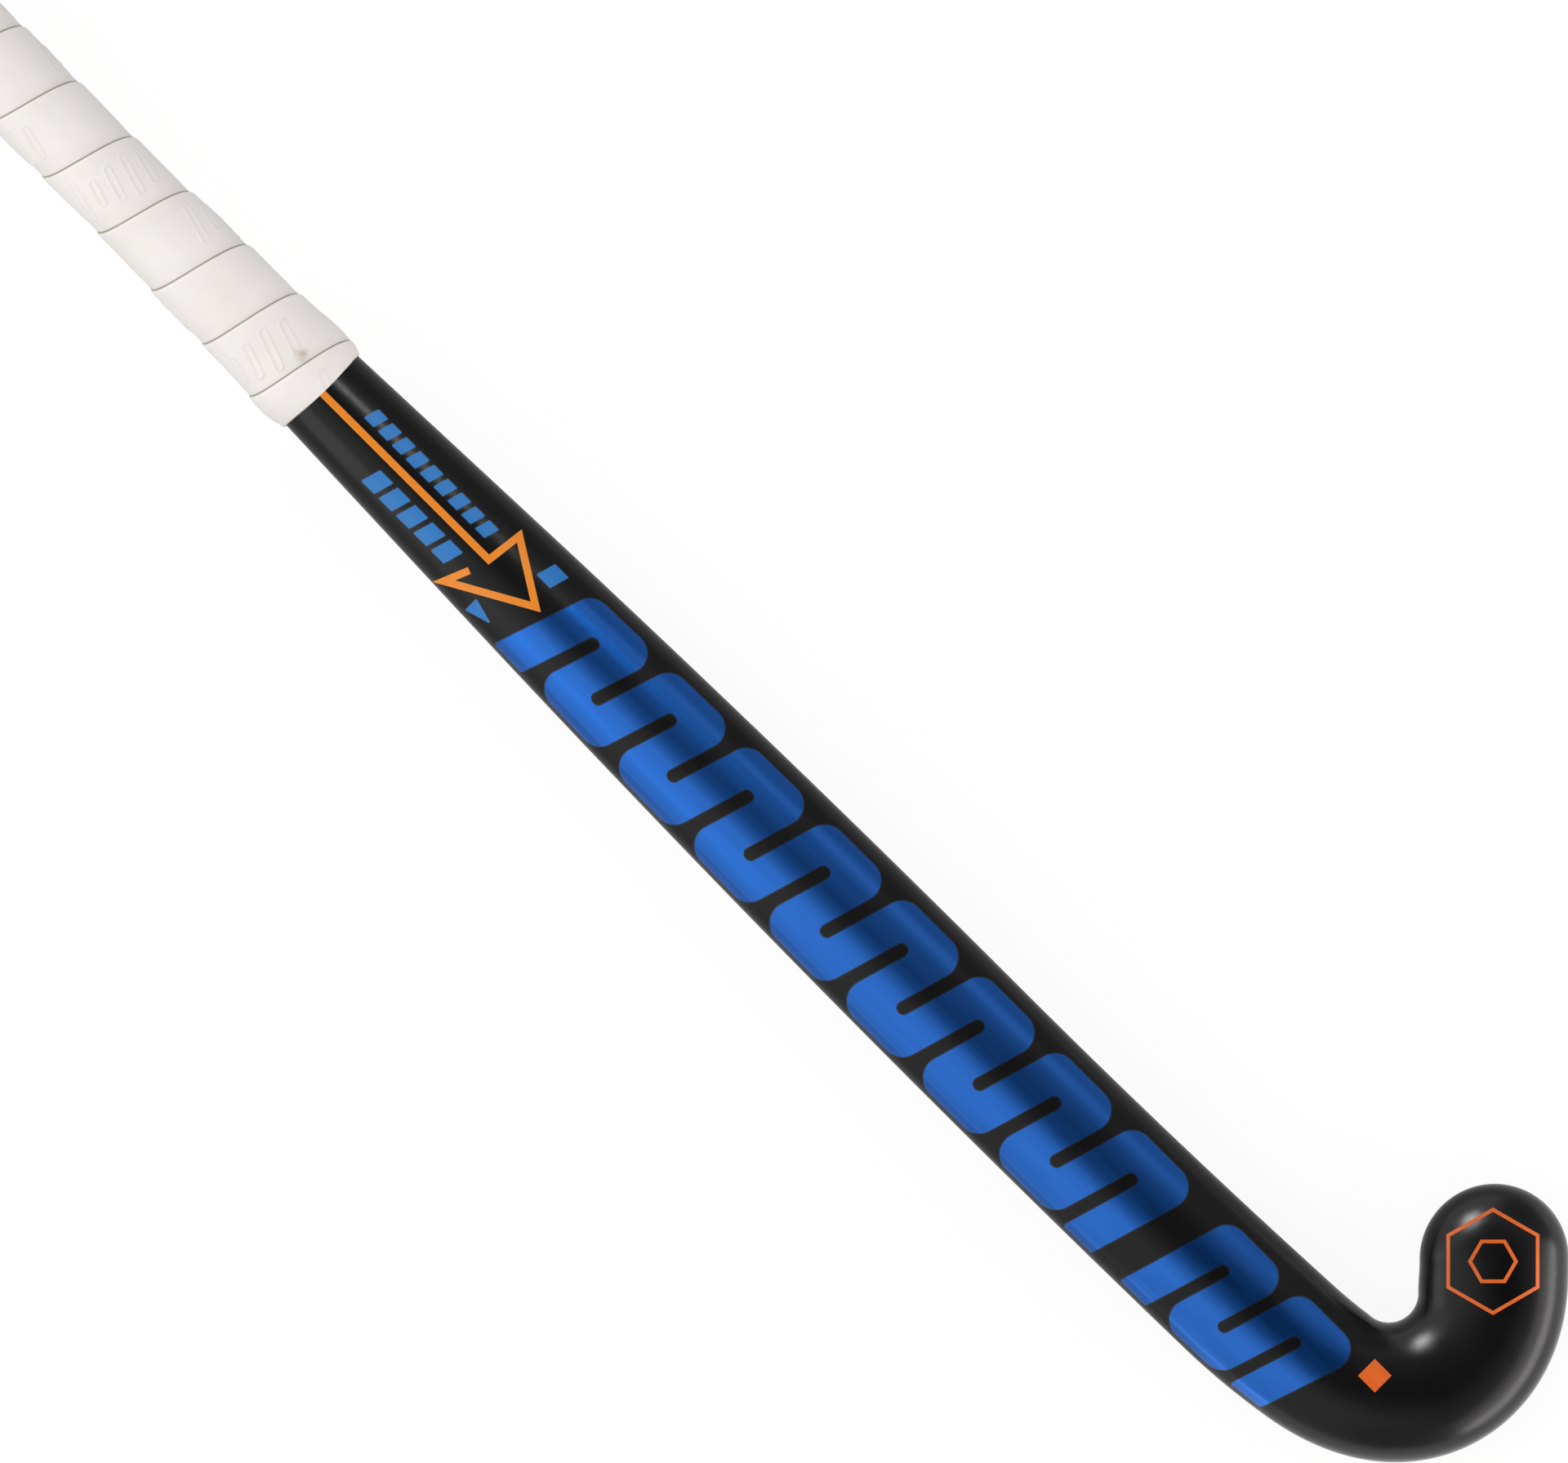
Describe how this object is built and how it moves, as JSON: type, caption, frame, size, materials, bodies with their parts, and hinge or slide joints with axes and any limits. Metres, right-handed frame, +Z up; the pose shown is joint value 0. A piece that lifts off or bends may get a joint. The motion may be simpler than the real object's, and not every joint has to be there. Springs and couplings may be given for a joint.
{
  "type": "field hockey stick",
  "caption": "Composite field hockey stick with a J-shaped head, a flat playing face, a rounded back, a bowed shaft and a wrapped cushioned grip.",
  "frame": {"origin": "centre of the bounding box's bottom face, with the stick lying on its flat face on the floor", "axes": "+X along the stick towards the head, +Y towards the toe of the head, +Z up out of the rounded back"},
  "size_m": [0.9286, 0.1162, 0.0447],
  "materials": {
    "laminate": "black lacquered carbon and glass laminate, satin gloss, with printed blue and orange graphics on the back",
    "aramid_layer": "resin-filled woven layer, yellow",
    "core_foam": "rigid closed-cell foam",
    "tube_laminate": "dark inner laminate",
    "plug_foam": "rigid foam plug",
    "cap_rubber": "moulded black rubber, matt",
    "cushion_foam": "soft cushion foam",
    "grip_tape": "soft matt off-white polyurethane tape"
  },
  "bodies": {
    "root": {"laminate_shell": "laminate", "face_reinforcement": "aramid_layer", "head_core": "core_foam", "chamber_tube_toe_side": "tube_laminate", "chamber_tube_heel_side": "tube_laminate", "butt_plug": "plug_foam", "end_cap": "cap_rubber", "cushion_wrap": "cushion_foam", "grip_tape": "grip_tape"}
  },
  "joints": []
}
